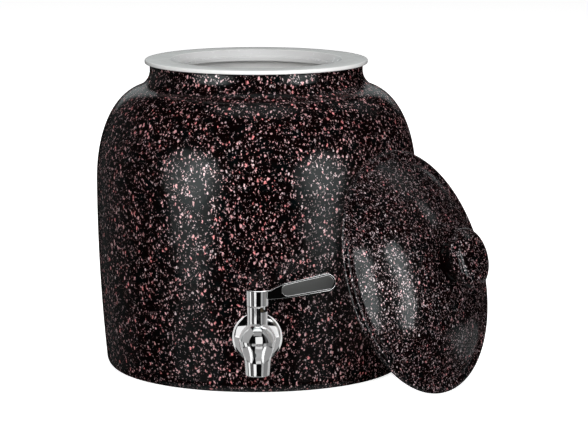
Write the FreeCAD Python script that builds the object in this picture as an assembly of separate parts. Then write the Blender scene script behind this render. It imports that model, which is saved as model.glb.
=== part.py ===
import FreeCAD, Part
import math
import os
from FreeCAD import Vector

# Glazed ceramic water crock with a bottle ring, a lift-off lid and a quarter-turn tap.
# Millimetres, +Z up. The origin is the middle of the crock's base, on the surface that
# it stands on. The tap is on the front, towards -Y, and its closed lever points to +X.

# crock
belly_radius = 134.1
belly_height = 159.7
heel_radius = 125.6
heel_rounding = 10.6
wall = 8.0
floor_thickness = 9.0
inner_corner_rounding = 14.0
shoulder_rise = 78.7
shoulder_fullness = 0.78
neck_radius = 89.2
neck_height = 18.4
neck_rim_rounding = 1.5
neck_root_rounding = 15.5
inner_neck_rounding = 5.0

# bottle ring, dropped into the neck
ring_flange_radius = 93.4
ring_flange_thickness = 3.3
ring_skirt_clearance = 0.5
ring_skirt_depth = 14.0
ring_wall = 2.5
funnel_top_radius = 71.9
funnel_depth = 6.7
bottle_opening_radius = 62.8
bottle_lip_height = 2.5
ring_edge_rounding = 1.2
funnel_edge_rounding = 1.5

# lid, taken off and leaning on the crock
lid_radius = 101.2
lid_rim_thickness = 7.0
lid_rim_rounding = 3.4
lid_dome_radius = 93.0
lid_dome_rise = 31.0
lid_wall = 6.0
lid_spigot_height = 3.0
lid_spigot_width = 6.0
lid_spigot_clearance = 0.8
lid_crease_rounding = 4.0
knob_radius = 25.0
knob_thickness = 19.5
knob_fullness = 0.9
knob_neck_radius = 14.0
knob_neck_height = 6.8
lid_lean_angle = 17.3
lid_facing_angle = -34.2
lid_place_angle = -37.9
rest_gap = 0.3

# tap body
tap_height = 48.5
tap_projection = 34.4
column_radius = 8.1
column_top_height = 80.1
spout_offset = 4.0
spout_tip_height = 24.8
spout_tip_radius = 9.5
spout_root_height = 34.5
spout_root_radius = 10.3
spout_bore_radius = 6.5
bulb_radius = 14.75
bulb_height = 52.8
tap_neck_radius = 9.5
shank_radius = 8.0
shank_bore_radius = 4.5
shank_overrun = 4.0
tap_hole_radius = 9.0

# escutcheon and what clamps the tap to the wall
escutcheon_radius = 20.2
escutcheon_edge = 1.4
escutcheon_rounding = 0.7
escutcheon_rise = 6.5
escutcheon_collar_radius = 11.5
escutcheon_cup_radius = 16.0
escutcheon_cup_depth = 2.4
seal_washer_radius = 14.0
inner_seal_thickness = 3.0
clamp_washer_radius = 13.0
clamp_washer_thickness = 1.5
nut_across_flats = 22.0
nut_thickness = 8.0
shank_clearance = 0.05

# cartridge in the column
cartridge_bore_radius = 6.0
cartridge_clearance = 0.1
seat_height = 41.0
seat_land = 3.0
seat_port_radius = 4.0
seat_seal_thickness = 1.5
cartridge_skirt_wall = 0.75
disc_thickness = 2.5
disc_clearance = 0.05
disc_running_gap = 0.02
disc_port_inner_radius = 0.6
disc_port_radius = 3.6
disc_port_angle = 70.0
window_width = 7.0
window_height = 3.9
glide_washer_thickness = 0.6
gland_nut_height = 8.0
gland_nut_clearance = 0.7
gland_slot_width = 2.0
gland_slot_depth = 1.2
o_ring_section = 0.9

# spindle
spindle_radius = 3.0
spindle_running_clearance = 0.05
spindle_flange_height = 2.9
spindle_tongue_width = 2.0
spindle_tongue_bite = 1.0
spindle_flat_depth = 1.0
spindle_grip = 9.0
spindle_seal_pitch = 4.0

# lever
hub_gap = 0.5
hub_height = 13.0
hub_bottom_radius = 8.55
hub_top_radius = 8.8
hub_edge_rounding = 0.8
hub_overlap = 1.0
lever_reach = 62.2
lever_thickness = 6.5
lever_tip_radius = 6.9
lever_heel_radius = 6.1
lever_heel_reach = 24.0
lever_tip_rise = 12.2
lever_heel_rise = 6.6
lever_root_reach = 11.0
lever_root_drop = 7.6
insert_inset = 1.6
insert_depth = 0.8
insert_clearance = 0.05
grub_screw_radius = 2.0
grub_screw_height = 6.0
grub_socket_radius = 1.0
grub_socket_depth = 2.0

# stop: a lug under the hub runs in a recess in the column's rim
stop_depth = 4.0
stop_wall = 0.3
lug_width_angle = 30.0
lug_closed_angle = 31.0
lever_turn_angle = 90.0
stop_play_angle = 0.5
lug_clearance = 0.4

up = Vector(0, 0, 1)
back = Vector(0, 1, 0)
origin = Vector(0, 0, 0)
near = 0.01
true_ellipse = math.sqrt(0.5)
cutter_size = 100.0


# ---- shapes that repeat ----

def at(radius, height):
    return Vector(radius, 0, height)


def cornered(points):
    """The straight edges of a closed outline through the points."""
    return Part.makePolygon(points + [points[0]]).Edges


def turned(outline):
    """A solid of revolution about Z from a closed outline in the XZ plane."""
    return Part.Face(Part.Wire(outline)).revolve(origin, up, 360)


def line(start, end):
    return Part.makeLine(start, end)


def quarter_curve(start, corner, end, fullness=true_ellipse):
    """A quarter of an ellipse, or a fuller curve with the same ends."""
    curve = Part.BezierCurve()
    curve.setPoles([start, corner, end])
    curve.setWeight(2, fullness)
    return curve.toShape()


def s_curve(start, end):
    """A smooth curve that leaves and arrives upright."""
    middle_height = 0.5 * (start.z + end.z)
    curve = Part.BezierCurve()
    curve.setPoles([start, at(start.x, middle_height), at(end.x, middle_height), end])
    return curve.toShape()


def bulging_arc(bottom, top):
    """An arc from bottom to top that arrives upright at the top."""
    rise = top.z - bottom.z
    spread = top.x - bottom.x
    radius = (rise ** 2 + spread ** 2) / (2 * spread)
    half_angle = 0.5 * math.asin(rise / radius)
    middle = at(top.x - radius * (1 - math.cos(half_angle)), top.z - radius * math.sin(half_angle))
    return Part.Arc(bottom, middle, top).toShape()


def rod(radius, low, high):
    return Part.makeCylinder(radius, high - low, Vector(0, 0, low))


def tube(outer, inner, low, high):
    return rod(outer, low, high).cut(rod(inner, low, high))


def centred_box(width, depth, low, high):
    return Part.makeBox(width, depth, high - low, Vector(-width / 2, -depth / 2, low))


def o_ring(inner, height):
    section = o_ring_section / 2
    return Part.makeTorus(inner + section, section, Vector(0, 0, height))


def sector(inner, outer, low, high, start_angle, sweep):
    box = Part.makeCylinder(outer, high - low, Vector(0, 0, low), up, sweep)
    return box.cut(rod(inner, low, high)).rotated(origin, up, start_angle)


def round_circles(solid, radius, height, rounding):
    """Round the circular edges of one radius at one height."""
    chosen = []
    for edge in solid.Edges:
        if edge.Degenerated or not isinstance(edge.Curve, Part.Circle):
            continue
        circle = edge.Curve
        if abs(circle.Radius - radius) < near and abs(circle.Center.z - height) < near:
            chosen.append(edge)
    return solid.makeFillet(rounding, chosen)


def on_column(shape):
    """Move a piece made about Z to the tap's upright axis."""
    return shape.translated(Vector(0, -tap_axis_distance, 0))


def on_shank(shape):
    """Turn a piece made about Z to the shank's axis, with its height as the distance out."""
    return shape.rotated(origin, Vector(1, 0, 0), 90).translated(Vector(0, 0, tap_height))


def reach_at(solid, height):
    """How far a turned solid reaches from Z at a height."""
    ray = Part.makeLine(at(0, height), at(2 * belly_radius, height))
    return solid.common(ray).BoundBox.XMax


# ---- crock ----

def crock_form(inset, low):
    """The solid within the crock's outer face, or within a face set in from it."""
    heel = at(heel_radius - inset, low)
    belly = at(belly_radius - inset, belly_height)
    neck_root = at(neck_radius - inset, neck_root_height - inset)
    return turned([
        line(at(0, low), heel),
        bulging_arc(heel, belly),
        quarter_curve(belly, at(belly.x, neck_root.z), neck_root, shoulder_fullness),
        line(neck_root, at(neck_root.x, neck_rim_height)),
        line(at(neck_root.x, neck_rim_height), at(0, neck_rim_height)),
        line(at(0, neck_rim_height), at(0, low)),
    ])


def make_crock_outside():
    solid = crock_form(0, 0)
    solid = round_circles(solid, heel_radius, 0, heel_rounding)
    solid = round_circles(solid, neck_radius, neck_root_height, neck_root_rounding)
    return round_circles(solid, neck_radius, neck_rim_height, neck_rim_rounding)


def make_crock_inside():
    solid = crock_form(wall, floor_thickness)
    solid = round_circles(solid, heel_radius - wall, floor_thickness, inner_corner_rounding)
    return round_circles(solid, neck_radius - wall, neck_root_height - wall, inner_neck_rounding)


def make_crock():
    hole = on_shank(rod(tap_hole_radius, 0.5 * inner_wall, 2 * outer_wall))
    return crock_outside.cut(crock_inside).cut(hole)


def make_bottle_ring():
    top = neck_rim_height + ring_flange_thickness
    skirt = neck_radius - wall - ring_skirt_clearance
    skirt_inside = skirt - ring_wall
    skirt_bottom = neck_rim_height - ring_skirt_depth
    lip_top = top - funnel_depth
    lip_bottom = lip_top - bottle_lip_height
    lip_back = bottle_opening_radius + ring_wall
    run = funnel_top_radius - bottle_opening_radius
    slope = funnel_depth / run
    drop = ring_wall * math.hypot(run, funnel_depth) / run
    back_height = lip_top - drop + slope * ring_wall
    flange_meets = bottle_opening_radius + (neck_rim_height - lip_top + drop) / slope
    solid = turned(cornered([
        at(ring_flange_radius, top),
        at(funnel_top_radius, top),
        at(bottle_opening_radius, lip_top),
        at(bottle_opening_radius, lip_bottom),
        at(lip_back, lip_bottom),
        at(lip_back, back_height),
        at(flange_meets, neck_rim_height),
        at(skirt_inside, neck_rim_height),
        at(skirt_inside, skirt_bottom),
        at(skirt, skirt_bottom),
        at(skirt, neck_rim_height),
        at(ring_flange_radius, neck_rim_height),
    ]))
    solid = round_circles(solid, ring_flange_radius, top, ring_edge_rounding)
    solid = round_circles(solid, funnel_top_radius, top, funnel_edge_rounding)
    return round_circles(solid, bottle_opening_radius, lip_top, ring_edge_rounding)


# ---- lid ----

def dome(radius, rise, base):
    """A solid cap of a sphere on a short plug down to height zero."""
    ball_radius = (radius ** 2 + rise ** 2) / (2 * rise)
    ball = Part.makeSphere(ball_radius, Vector(0, 0, base + rise - ball_radius))
    return ball.common(rod(radius, 0, base + rise)).fuse(rod(radius, 0, base))


def dome_height(radius, rise, base, at_radius):
    ball_radius = (radius ** 2 + rise ** 2) / (2 * rise)
    return base + rise - ball_radius + math.sqrt(ball_radius ** 2 - at_radius ** 2)


def make_lid():
    """The lid about Z, with its rim's seat at height zero."""
    rim = rod(lid_radius, 0, lid_rim_thickness)
    rim = round_circles(rim, lid_radius, 0, lid_rim_rounding)
    rim = round_circles(rim, lid_radius, lid_rim_thickness, lid_rim_rounding)
    shell = rim.fuse(dome(lid_dome_radius, lid_dome_rise, lid_rim_thickness)).removeSplitter()
    shell = round_circles(shell, lid_dome_radius, lid_rim_thickness, lid_crease_rounding)

    knob_bottom = dome_height(lid_dome_radius, lid_dome_rise, lid_rim_thickness,
                              knob_neck_radius) + knob_neck_height
    knob_top = knob_bottom + knob_thickness
    knob_edge = at(knob_radius, knob_bottom + knob_thickness / 2)
    knob = turned([
        quarter_curve(at(0, knob_bottom), at(knob_radius, knob_bottom), knob_edge, knob_fullness),
        quarter_curve(knob_edge, at(knob_radius, knob_top), at(0, knob_top), knob_fullness),
        line(at(0, knob_top), at(0, knob_bottom)),
    ])
    neck = rod(knob_neck_radius, lid_rim_thickness, knob_edge.z)
    shell = shell.fuse(neck).fuse(knob)

    spigot_reach = funnel_top_radius - lid_spigot_clearance
    spigot_reach -= lid_spigot_height * (funnel_top_radius - bottle_opening_radius) / funnel_depth
    hollow_radius = spigot_reach - lid_spigot_width
    spigot = rod(spigot_reach, -lid_spigot_height, 0)
    hollow_base = dome_height(lid_dome_radius, lid_dome_rise, lid_rim_thickness, hollow_radius)
    hollow_top = lid_rim_thickness + lid_dome_rise - lid_wall
    hollow_base -= lid_wall
    hollow = dome(hollow_radius, hollow_top - hollow_base, hollow_base)
    hollow = hollow.fuse(rod(hollow_radius, -lid_spigot_height, lid_wall))
    return shell.fuse(spigot).cut(hollow).removeSplitter()


def lean_lid(lid):
    """Stand the lid on its edge, face out, and slide it in until it rests on the crock."""
    leaning = lid.rotated(origin, Vector(0, 1, 0), 90 - lid_lean_angle)
    leaning = leaning.rotated(origin, up, lid_facing_angle)
    angle = math.radians(lid_place_angle)
    outward = Vector(math.cos(angle), math.sin(angle), 0)
    table = rod(2 * lid_radius, -rest_gap, 0)
    leaning = leaning.translated(up * 2 * lid_radius)
    leaning = leaning.translated(up * -leaning.distToShape(table)[0])
    leaning = leaning.translated(outward * (belly_radius + 2 * lid_radius))
    closing = leaning.distToShape(crock_outside)[0] - rest_gap
    while closing > near:
        leaning = leaning.translated(outward * -closing)
        closing = leaning.distToShape(crock_outside)[0] - rest_gap
    return leaning


# ---- tap body and its clamping ----

def make_tap_body():
    spout_root = at(spout_root_radius, spout_root_height)
    bulb_side = at(bulb_radius, bulb_height)
    bulb_top = bulb_height + bulb_radius
    bulb = turned([
        line(at(0, spout_tip_height), at(spout_tip_radius, spout_tip_height)),
        line(at(spout_tip_radius, spout_tip_height), spout_root),
        s_curve(spout_root, bulb_side),
        quarter_curve(bulb_side, at(bulb_radius, bulb_top), at(0, bulb_top)),
        line(at(0, bulb_top), at(0, spout_tip_height)),
    ])
    forward = Vector(0, -spout_offset, 0)
    outlet = rod(spout_bore_radius, spout_tip_height, seat_height - seat_land)
    body = on_column(bulb.translated(forward))
    body = body.fuse(on_column(rod(column_radius, bulb_height, column_top_height)))
    body = body.fuse(on_shank(rod(tap_neck_radius, escutcheon_face, tap_axis_distance)))
    body = body.fuse(on_shank(rod(shank_radius, shank_end, tap_axis_distance)))
    body = body.cut(on_shank(rod(shank_bore_radius, shank_end, tap_axis_distance)))
    body = body.cut(on_column(rod(cartridge_bore_radius, seat_height, column_top_height)))
    body = body.cut(on_column(rod(seat_port_radius, seat_height - seat_land, seat_height)))
    body = body.cut(on_column(outlet.translated(forward)))
    recess_start = lug_closed_angle - lug_width_angle / 2 - lever_turn_angle - stop_play_angle
    recess_sweep = lug_width_angle + lever_turn_angle + 2 * stop_play_angle
    recess = sector(spindle_radius, cutter_size, column_top_height - stop_depth,
                    column_top_height, recess_start, recess_sweep)
    return body.cut(on_column(recess)).removeSplitter()


def make_escutcheon():
    """A cup with a coned face, whose rim is towards the crock."""
    rim_plane = escutcheon_face - escutcheon_rise
    solid = turned(cornered([
        at(shank_radius + shank_clearance, escutcheon_face),
        at(escutcheon_collar_radius, escutcheon_face),
        at(escutcheon_radius, rim_plane + escutcheon_edge),
        at(escutcheon_radius, rim_plane),
        at(escutcheon_cup_radius, rim_plane),
        at(escutcheon_cup_radius, rim_plane + escutcheon_cup_depth),
        at(shank_radius + shank_clearance, rim_plane + escutcheon_cup_depth),
    ]))
    solid = round_circles(solid, escutcheon_radius, rim_plane + escutcheon_edge,
                          escutcheon_rounding)
    solid = round_circles(solid, escutcheon_collar_radius, escutcheon_face, escutcheon_rounding)
    return on_shank(solid)


def make_outer_seal_washer():
    cup_floor = escutcheon_face - escutcheon_rise + escutcheon_cup_depth
    washer = tube(seal_washer_radius, shank_radius + shank_clearance, inner_wall, cup_floor)
    return on_shank(washer).cut(crock_outside)


def make_inner_seal_washer():
    washer = tube(seal_washer_radius, shank_radius + shank_clearance,
                  inner_wall - inner_seal_thickness, outer_wall)
    return on_shank(washer).common(crock_inside)


def make_clamp_washer():
    face = inner_wall - inner_seal_thickness
    return on_shank(tube(clamp_washer_radius, shank_radius + shank_clearance,
                         face - clamp_washer_thickness, face))


def make_lock_nut():
    face = inner_wall - inner_seal_thickness - clamp_washer_thickness
    corner_radius = nut_across_flats / math.sqrt(3)
    corners = []
    for side in range(6):
        angle = math.radians(60 * side + 30)
        corners.append(Vector(corner_radius * math.cos(angle), corner_radius * math.sin(angle),
                              face - nut_thickness))
    prism = Part.Face(Part.Wire(cornered(corners))).extrude(up * nut_thickness)
    chamfer = corner_radius - nut_across_flats / 2
    barrel = turned(cornered([
        at(0, face - nut_thickness),
        at(nut_across_flats / 2, face - nut_thickness),
        at(corner_radius, face - nut_thickness + chamfer),
        at(corner_radius, face),
        at(0, face),
    ]))
    bore = rod(shank_radius + shank_clearance, face - nut_thickness, face)
    return on_shank(prism.common(barrel).cut(bore))


# ---- cartridge ----

def make_seat_seal():
    outer = cartridge_bore_radius - cartridge_clearance
    return on_column(tube(outer, seat_port_radius, seat_height, disc_base))


def ported_disc(low, turn):
    """A ceramic disc with two quarter ports on opposite sides of a web."""
    disc = rod(skirt_inner_radius - disc_clearance, low, low + disc_thickness)
    for middle in (90, 270):
        start = middle + turn - disc_port_angle / 2
        port = sector(disc_port_inner_radius, disc_port_radius, low, low + disc_thickness, start,
                      disc_port_angle)
        disc = disc.cut(port)
    return disc


def make_fixed_disc():
    return on_column(ported_disc(disc_base, 0))


def make_moving_disc():
    low = disc_base + disc_thickness + disc_running_gap
    disc = ported_disc(low, 90)
    slot = centred_box(spindle_tongue_width + 2 * spindle_running_clearance, cutter_size,
                       low + disc_thickness - spindle_tongue_bite, low + disc_thickness)
    return on_column(disc.cut(slot))


def make_cartridge_body():
    outer = cartridge_bore_radius - cartridge_clearance
    body = rod(outer, disc_base, cartridge_top_height)
    body = body.cut(rod(skirt_inner_radius, disc_base, cartridge_shoulder))
    body = body.cut(rod(spindle_radius + spindle_running_clearance, cartridge_shoulder,
                        cartridge_top_height))
    window = centred_box(window_width, cutter_size, moving_disc_top,
                         moving_disc_top + window_height)
    groove = tube(cartridge_bore_radius, outer - o_ring_section, cartridge_seal_height
                  - o_ring_section / 2, cartridge_seal_height + o_ring_section / 2)
    return on_column(body.cut(window).cut(groove))


def make_cartridge_o_ring():
    inner = cartridge_bore_radius - cartridge_clearance - o_ring_section
    return on_column(o_ring(inner, cartridge_seal_height))


def make_gland_nut():
    top = cartridge_top_height + gland_nut_height
    nut = tube(cartridge_bore_radius - shank_clearance,
               spindle_radius + 2 * spindle_running_clearance, cartridge_top_height, top)
    slot = centred_box(cutter_size, gland_slot_width, top - gland_slot_depth, top)
    return on_column(nut.cut(slot))


def make_glide_washer():
    return on_column(tube(spindle_flange_radius, spindle_radius + spindle_running_clearance,
                          spindle_flange_top, spindle_flange_top + glide_washer_thickness))


def beyond_flat(clearance):
    """What lies beyond the flat on the spindle's upper end."""
    block = centred_box(cutter_size, cutter_size, hub_bottom, hub_bottom + spindle_grip)
    flat_distance = spindle_radius - spindle_flat_depth + clearance
    return block.translated(back * (flat_distance + cutter_size / 2))


def spindle_seal_heights():
    middle = 0.5 * (cartridge_shoulder + cartridge_top_height)
    return [middle - spindle_seal_pitch / 2, middle + spindle_seal_pitch / 2]


def make_spindle():
    top = hub_bottom + spindle_grip
    spindle = rod(spindle_radius, spindle_flange_top, top)
    spindle = spindle.fuse(rod(spindle_flange_radius, spindle_flange_top - spindle_flange_height,
                               spindle_flange_top))
    tongue_bottom = moving_disc_top - spindle_tongue_bite
    tongue_length = 2 * (spindle_flange_radius - disc_clearance)
    tongue = centred_box(spindle_tongue_width, tongue_length, tongue_bottom, spindle_flange_top)
    spindle = spindle.fuse(tongue.common(rod(spindle_flange_radius, tongue_bottom, top)))
    spindle = spindle.cut(beyond_flat(0))
    for height in spindle_seal_heights():
        spindle = spindle.cut(tube(cutter_size, spindle_radius - o_ring_section,
                                   height - o_ring_section / 2, height + o_ring_section / 2))
    return on_column(spindle.removeSplitter())


def make_spindle_o_rings():
    rings = []
    for height in spindle_seal_heights():
        rings.append(on_column(o_ring(spindle_radius - o_ring_section, height)))
    return Part.makeCompound(rings)


# ---- lever ----

def slot_outline(heel, tip, heel_round, tip_round):
    """The outline round two circles of different size, and its tangent points at the heel."""
    along = tip - heel
    spread = math.acos((heel_round - tip_round) / along.Length)
    slope = math.atan2(along.z, along.x)
    points = {}
    for name, centre, rounding in (("heel", heel, heel_round), ("tip", tip, tip_round)):
        for side, sign in (("top", 1), ("bottom", -1)):
            angle = slope + sign * spread
            points[name, side] = centre + at(rounding * math.cos(angle), rounding * math.sin(angle))
    heel_end = heel - at(heel_round * math.cos(slope), heel_round * math.sin(slope))
    tip_end = tip + at(tip_round * math.cos(slope), tip_round * math.sin(slope))
    wire = Part.Wire([
        line(points["heel", "top"], points["tip", "top"]),
        Part.Arc(points["tip", "top"], tip_end, points["tip", "bottom"]).toShape(),
        line(points["tip", "bottom"], points["heel", "bottom"]),
        Part.Arc(points["heel", "bottom"], heel_end, points["heel", "top"]).toShape(),
    ])
    return wire, points


def lever_centres():
    heel = at(lever_heel_reach, hub_bottom + lever_heel_rise + lever_heel_radius)
    tip = at(lever_reach - lever_tip_radius, hub_bottom + lever_tip_rise + lever_tip_radius)
    return heel, tip


def make_insert_blank(clearance):
    heel, tip = lever_centres()
    wire, points = slot_outline(heel, tip, lever_heel_radius - insert_inset - clearance,
                                lever_tip_radius - insert_inset - clearance)
    front = -lever_thickness / 2
    blank = Part.Face(wire).extrude(Vector(0, insert_depth, 0))
    return on_column(blank.translated(Vector(0, front, 0)))


def make_tap_lever():
    hub_top = hub_bottom + hub_height
    hub = Part.makeCone(hub_bottom_radius, hub_top_radius, hub_height, Vector(0, 0, hub_bottom))
    hub = round_circles(hub, hub_top_radius, hub_top, hub_edge_rounding)

    heel, tip = lever_centres()
    wire, points = slot_outline(heel, tip, lever_heel_radius, lever_tip_radius)
    thickness = Vector(0, lever_thickness, 0)
    blade = Part.Face(wire).extrude(thickness)
    root = Part.Face(Part.Wire(cornered([
        at(0, hub_top),
        at(lever_root_reach, hub_top),
        points["heel", "top"],
        heel,
        points["heel", "bottom"],
        at(lever_root_reach, hub_top - lever_root_drop),
        at(0, hub_top - lever_root_drop),
    ]))).extrude(thickness)
    arm = blade.fuse(root).removeSplitter().translated(thickness * -0.5)
    arm = arm.cut(rod(hub_bottom_radius - hub_overlap, hub_bottom, hub_top))

    lug_low = column_top_height - stop_depth + lug_clearance
    lug = sector(cartridge_bore_radius + stop_wall, column_radius, lug_low,
                 hub_bottom + hub_overlap, lug_closed_angle - lug_width_angle / 2,
                 lug_width_angle)
    lever = hub.fuse(arm).fuse(lug)

    socket = rod(spindle_radius + spindle_running_clearance, hub_bottom, hub_bottom + spindle_grip)
    lever = lever.cut(socket.cut(beyond_flat(spindle_running_clearance)))
    tapped_hole = Part.makeCylinder(grub_screw_radius, cutter_size,
                                    Vector(0, spindle_radius - spindle_flat_depth,
                                           hub_bottom + grub_screw_height), back)
    return on_column(lever.cut(tapped_hole)).cut(make_insert_blank(0)).removeSplitter()


def make_lever_insert():
    return make_insert_blank(insert_clearance)


def make_grub_screw():
    start = spindle_radius - spindle_flat_depth
    height = hub_bottom + grub_screw_height
    length = hub_bottom_radius - start
    screw = Part.makeCylinder(grub_screw_radius - insert_clearance, length,
                              Vector(0, start, height), back)
    socket = Part.makeCylinder(grub_socket_radius, grub_socket_depth,
                               Vector(0, start + length - grub_socket_depth, height), back)
    return on_column(screw.cut(socket))


# ---- places worked out from the sizes above ----

neck_root_height = belly_height + shoulder_rise
neck_rim_height = neck_root_height + neck_height
crock_outside = make_crock_outside()
crock_inside = make_crock_inside()
outer_wall = reach_at(crock_outside, tap_height)
inner_wall = reach_at(crock_inside, tap_height)
widest_behind_tap = max(reach_at(crock_outside, tap_height - escutcheon_radius),
                        reach_at(crock_outside, tap_height + escutcheon_radius))
tap_axis_distance = outer_wall + tap_projection
escutcheon_face = widest_behind_tap + rest_gap + escutcheon_rise
shank_end = (inner_wall - inner_seal_thickness - clamp_washer_thickness - nut_thickness
             - shank_overrun)

cartridge_top_height = column_top_height - stop_depth - gland_nut_clearance - gland_nut_height
disc_base = seat_height + seat_seal_thickness
moving_disc_top = disc_base + 2 * disc_thickness + disc_running_gap
skirt_inner_radius = cartridge_bore_radius - cartridge_clearance - cartridge_skirt_wall
spindle_flange_radius = skirt_inner_radius - spindle_running_clearance
spindle_flange_top = moving_disc_top + window_height + spindle_flange_height / 2
cartridge_shoulder = spindle_flange_top + glide_washer_thickness + spindle_running_clearance
cartridge_seal_height = 0.5 * (cartridge_shoulder + cartridge_top_height)
hub_bottom = column_top_height + hub_gap

nodes = {
    "crock": make_crock(),
    "bottle_ring": make_bottle_ring(),
    "lid": lean_lid(make_lid()),
    "tap_body": make_tap_body(),
    "tap_escutcheon": make_escutcheon(),
    "outer_seal_washer": make_outer_seal_washer(),
    "inner_seal_washer": make_inner_seal_washer(),
    "clamp_washer": make_clamp_washer(),
    "lock_nut": make_lock_nut(),
    "seat_seal": make_seat_seal(),
    "fixed_disc": make_fixed_disc(),
    "moving_disc": make_moving_disc(),
    "cartridge_body": make_cartridge_body(),
    "cartridge_o_ring": make_cartridge_o_ring(),
    "gland_nut": make_gland_nut(),
    "glide_washer": make_glide_washer(),
    "spindle": make_spindle(),
    "spindle_o_rings": make_spindle_o_rings(),
    "tap_lever": make_tap_lever(),
    "lever_insert": make_lever_insert(),
    "grub_screw": make_grub_screw(),
}

os.makedirs("parts", exist_ok=True)
for name, shape in nodes.items():
    shape.exportStep("parts/" + name + ".step")
    box = shape.BoundBox
    print("%-18s solids %d volume %10.1f box %7.1f %7.1f %7.1f to %7.1f %7.1f %7.1f" % (
        name, len(shape.Solids), shape.Volume, box.XMin, box.YMin, box.ZMin,
        box.XMax, box.YMax, box.ZMax))
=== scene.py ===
# Speckled stoneware water crock: bottle ring in the mouth, lever tap on the front, lid leaning beside it.
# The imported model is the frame. The pieces below are modelled round it, in metres, +Z up, tap towards -Y.
import math
import bpy
from mathutils import Matrix, Vector


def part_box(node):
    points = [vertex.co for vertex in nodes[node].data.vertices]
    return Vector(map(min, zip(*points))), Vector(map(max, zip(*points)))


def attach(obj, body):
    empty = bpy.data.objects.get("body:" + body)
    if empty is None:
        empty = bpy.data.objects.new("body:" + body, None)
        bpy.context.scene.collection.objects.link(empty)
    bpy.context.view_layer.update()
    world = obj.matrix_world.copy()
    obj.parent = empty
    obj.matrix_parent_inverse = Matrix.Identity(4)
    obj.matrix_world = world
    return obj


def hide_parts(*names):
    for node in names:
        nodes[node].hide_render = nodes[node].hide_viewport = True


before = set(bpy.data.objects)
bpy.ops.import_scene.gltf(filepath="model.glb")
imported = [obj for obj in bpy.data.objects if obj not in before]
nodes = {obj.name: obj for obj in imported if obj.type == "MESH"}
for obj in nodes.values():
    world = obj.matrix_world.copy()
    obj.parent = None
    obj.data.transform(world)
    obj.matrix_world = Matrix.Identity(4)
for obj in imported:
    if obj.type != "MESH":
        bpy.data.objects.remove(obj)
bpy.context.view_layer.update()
print("stage: frame loaded with", len(nodes), "parts")


def deselectAll():
    if bpy.context.object and bpy.context.object.mode != "OBJECT":
        bpy.ops.object.mode_set(mode="OBJECT")
    bpy.ops.object.select_all(action="DESELECT")


def pick(piece):
    deselectAll()
    piece.select_set(True)
    bpy.context.view_layer.objects.active = piece


def polar(centre, radius, degrees):
    turn = math.radians(degrees)
    return (centre[0] + radius * math.cos(turn), centre[1] + radius * math.sin(turn))


def arcPoints(centre, radius, start, end, count):
    return [polar(centre, radius, start + (end - start) * k / count) for k in range(count + 1)]


def quarterCurve(start, corner, end, fullness, count):
    # leaves and arrives along the corner's two sides; 0.71 gives a true ellipse
    path = []
    for k in range(count + 1):
        step = k / count
        shares = ((1 - step) ** 2, 2 * fullness * step * (1 - step), step ** 2)
        point = Vector(start) * shares[0] + Vector(corner) * shares[1] + Vector(end) * shares[2]
        path.append(tuple(point / sum(shares)))
    return path


def softened(corners, count=5):
    # corners are (across, up, rounding); each rounding becomes a short arc
    path = []
    total = len(corners)
    for k, (across, up, rounding) in enumerate(corners):
        here = Vector((across, up))
        if not rounding or k in (0, total - 1):
            path.append((across, up))
            continue
        before = (Vector(corners[k - 1][:2]) - here).normalized()
        after = (Vector(corners[k + 1][:2]) - here).normalized()
        half = before.angle(after) / 2
        centre = here + (before + after).normalized() * rounding / math.sin(half)
        first = here + before * rounding / math.tan(half) - centre
        last = here + after * rounding / math.tan(half) - centre
        for step in range(count + 1):
            point = centre + first.lerp(last, step / count).normalized() * rounding
            path.append((point.x, point.y))
    return path


def drawPath(name, path):
    # one vertex, extruded from point to point in the XZ plane; stays in edit mode
    deselectAll()
    bpy.ops.mesh.primitive_plane_add(size=0.001, location=(0, 0, 0))
    piece = bpy.context.object
    piece.name = name
    piece.data.name = name
    bpy.ops.object.mode_set(mode="EDIT")
    bpy.ops.mesh.select_mode(type="VERT")
    bpy.ops.mesh.select_all(action="SELECT")
    bpy.ops.mesh.merge(type="CENTER")
    bpy.ops.transform.translate(value=(path[0][0], 0, path[0][1]))
    for here, there in zip(path, path[1:]):
        move = (there[0] - here[0], 0, there[1] - here[1])
        bpy.ops.mesh.extrude_vertices_move(TRANSFORM_OT_translate={"value": move})
    bpy.ops.mesh.select_all(action="SELECT")
    return piece


def spunPiece(name, path, steps=128, sweep=360):
    piece = drawPath(name, path)
    # a positive spin runs clockwise seen from above
    bpy.ops.mesh.spin(steps=steps, angle=-math.radians(sweep), center=(0, 0, 0), axis=(0, 0, 1))
    bpy.ops.mesh.select_all(action="SELECT")
    bpy.ops.mesh.remove_doubles(threshold=0.000004)
    if sweep < 360:
        bpy.ops.mesh.select_all(action="DESELECT")
        bpy.ops.mesh.select_non_manifold()
        bpy.ops.mesh.fill_holes(sides=0)
        bpy.ops.mesh.select_all(action="SELECT")
    bpy.ops.mesh.normals_make_consistent(inside=False)
    bpy.ops.object.mode_set(mode="OBJECT")
    return piece


def slabPiece(name, path, thickness):
    # a flat outline in the XZ plane, filled and pushed back along +Y
    piece = drawPath(name, path)
    bpy.ops.mesh.edge_face_add()
    bpy.ops.mesh.extrude_region_move(TRANSFORM_OT_translate={"value": (0, thickness, 0)})
    bpy.ops.mesh.select_all(action="SELECT")
    bpy.ops.mesh.normals_make_consistent(inside=False)
    bpy.ops.object.mode_set(mode="OBJECT")
    return piece


def moveTo(piece, matrix):
    piece.matrix_world = matrix
    pick(piece)
    bpy.ops.object.transform_apply(location=True, rotation=True, scale=True)
    return piece


def applied(piece, kind, **settings):
    pick(piece)
    modifier = piece.modifiers.new(kind.title(), kind)
    for key, value in settings.items():
        setattr(modifier, key, value)
    bpy.ops.object.modifier_apply(modifier=modifier.name)
    return piece


def combine(piece, other, operation):
    applied(piece, "BOOLEAN", operation=operation, object=other, solver="EXACT")
    bpy.data.objects.remove(other)
    return piece


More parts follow.
